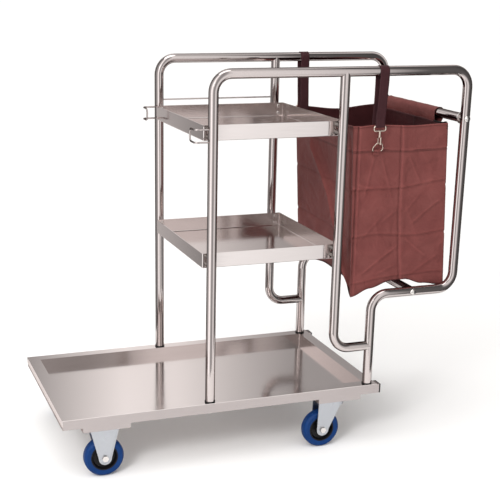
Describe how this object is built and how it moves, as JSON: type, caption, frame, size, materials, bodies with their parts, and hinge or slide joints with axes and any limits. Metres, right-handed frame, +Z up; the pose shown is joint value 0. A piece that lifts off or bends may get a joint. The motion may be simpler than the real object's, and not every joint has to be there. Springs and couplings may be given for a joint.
{
  "type": "housekeeping cart",
  "caption": "Stainless steel housekeeping cart with a recessed deck, bent tube side frames, tray shelves, a hanging cloth bag, tool hooks and fixed and swivel casters.",
  "frame": {"origin": "on the floor under the middle of the bounding box", "axes": "+X along the length towards the bag and push bar, +Y across towards the side with the guard rod, +Z up"},
  "size_m": [1.1066, 0.499, 1.0258],
  "materials": {
    "stainless_tube": "polished stainless steel tube",
    "stainless_sheet": "polished stainless steel sheet",
    "fixings": "bright stainless fixings",
    "zinc_plate": "zinc plated pressed steel",
    "tyre_blue": "blue elastic rubber",
    "hub_black": "black moulded nylon",
    "bush_steel": "plain steel bush",
    "black_plastic": "black moulded plastic",
    "bag_cloth": "maroon coated woven cloth",
    "strap_webbing": "dark maroon webbing",
    "snap_metal": "nickel plated wire and castings"
  },
  "bodies": {
    "cart": {"bag_body": "bag_cloth", "bag_rings": "snap_metal", "bag_sleeve": "bag_cloth", "bar_bolts": "fixings", "bar_plugs": "fixings", "base_pan": "stainless_sheet", "caster_bolts": "zinc_plate", "caster_member_front": "zinc_plate", "caster_member_rear": "zinc_plate", "cross_rail_front": "stainless_sheet", "cross_rail_rear": "stainless_sheet", "fixed_axles": "zinc_plate", "fixed_fork_far": "zinc_plate", "fixed_fork_near": "zinc_plate", "guard_rod": "stainless_tube", "inner_post_far": "stainless_tube", "inner_post_near": "stainless_tube", "kingpins": "zinc_plate", "lower_bar": "stainless_tube", "middle_shelf": "stainless_sheet", "post_bolts": "fixings", "post_collars": "black_plastic", "post_plugs": "fixings", "push_bar": "stainless_tube", "push_bar_collars": "fixings", "rail_end_caps": "black_plastic", "ring_tabs": "bag_cloth", "shelf_screws": "fixings", "shelf_spacers": "fixings", "side_frame_far": "stainless_tube", "side_frame_near": "stainless_tube", "side_rail_far": "stainless_sheet", "side_rail_near": "stainless_sheet", "snap_hook_far": "snap_metal", "snap_hook_near": "snap_metal", "strap_far": "strap_webbing", "strap_near": "strap_webbing", "swivel_plates": "zinc_plate", "tool_hook_far": "stainless_tube", "tool_hook_near": "stainless_tube", "top_shelf": "stainless_sheet"},
    "front_wheel_far": {"bush_front_far": "bush_steel", "hub_front_far": "hub_black", "tyre_front_far": "tyre_blue"},
    "front_wheel_near": {"bush_front_near": "bush_steel", "hub_front_near": "hub_black", "tyre_front_near": "tyre_blue"},
    "rear_wheel_far": {"bush_rear_far": "bush_steel", "hub_rear_far": "hub_black", "tyre_rear_far": "tyre_blue"},
    "rear_wheel_near": {"bush_rear_near": "bush_steel", "hub_rear_near": "hub_black", "tyre_rear_near": "tyre_blue"},
    "gate_far": {"snap_gate_far": "snap_metal"},
    "gate_near": {"snap_gate_near": "snap_metal"},
    "swivel_far": {"swivel_axle_far": "zinc_plate", "swivel_fork_far": "zinc_plate"},
    "swivel_near": {"swivel_axle_near": "zinc_plate", "swivel_fork_near": "zinc_plate"}
  },
  "joints": [
    {"name": "front_wheel_near_spin", "type": "hinge", "parent": "cart", "child": "front_wheel_near", "pos_m": [-0.44315, -0.218, 0.052], "axis": [0, 1, 0], "continuous": true},
    {"name": "swivel_near_turn", "type": "hinge", "parent": "cart", "child": "swivel_near", "pos_m": [0.20485, -0.218, 0.132], "axis": [0, 0, 1], "continuous": true},
    {"name": "rear_wheel_near_spin", "type": "hinge", "parent": "swivel_near", "child": "rear_wheel_near", "pos_m": [0.16485, -0.218, 0.052], "axis": [0, 1, 0], "continuous": true},
    {"name": "gate_near_open", "type": "hinge", "parent": "cart", "child": "gate_near", "pos_m": [0.28985, -0.2265, 0.844], "axis": [-1, 0, 0], "range_deg": [0, 30], "stiffness_Nm_per_rad": 0.01, "springref_deg": -17.19},
    {"name": "front_wheel_far_spin", "type": "hinge", "parent": "cart", "child": "front_wheel_far", "pos_m": [-0.44315, 0.218, 0.052], "axis": [0, 1, 0], "continuous": true},
    {"name": "swivel_far_turn", "type": "hinge", "parent": "cart", "child": "swivel_far", "pos_m": [0.20485, 0.218, 0.132], "axis": [0, 0, 1], "continuous": true},
    {"name": "rear_wheel_far_spin", "type": "hinge", "parent": "swivel_far", "child": "rear_wheel_far", "pos_m": [0.16485, 0.218, 0.052], "axis": [0, 1, 0], "continuous": true},
    {"name": "gate_far_open", "type": "hinge", "parent": "cart", "child": "gate_far", "pos_m": [0.27385, 0.2265, 0.844], "axis": [1, 0, 0], "range_deg": [0, 30], "stiffness_Nm_per_rad": 0.01, "springref_deg": -17.19}
  ]
}
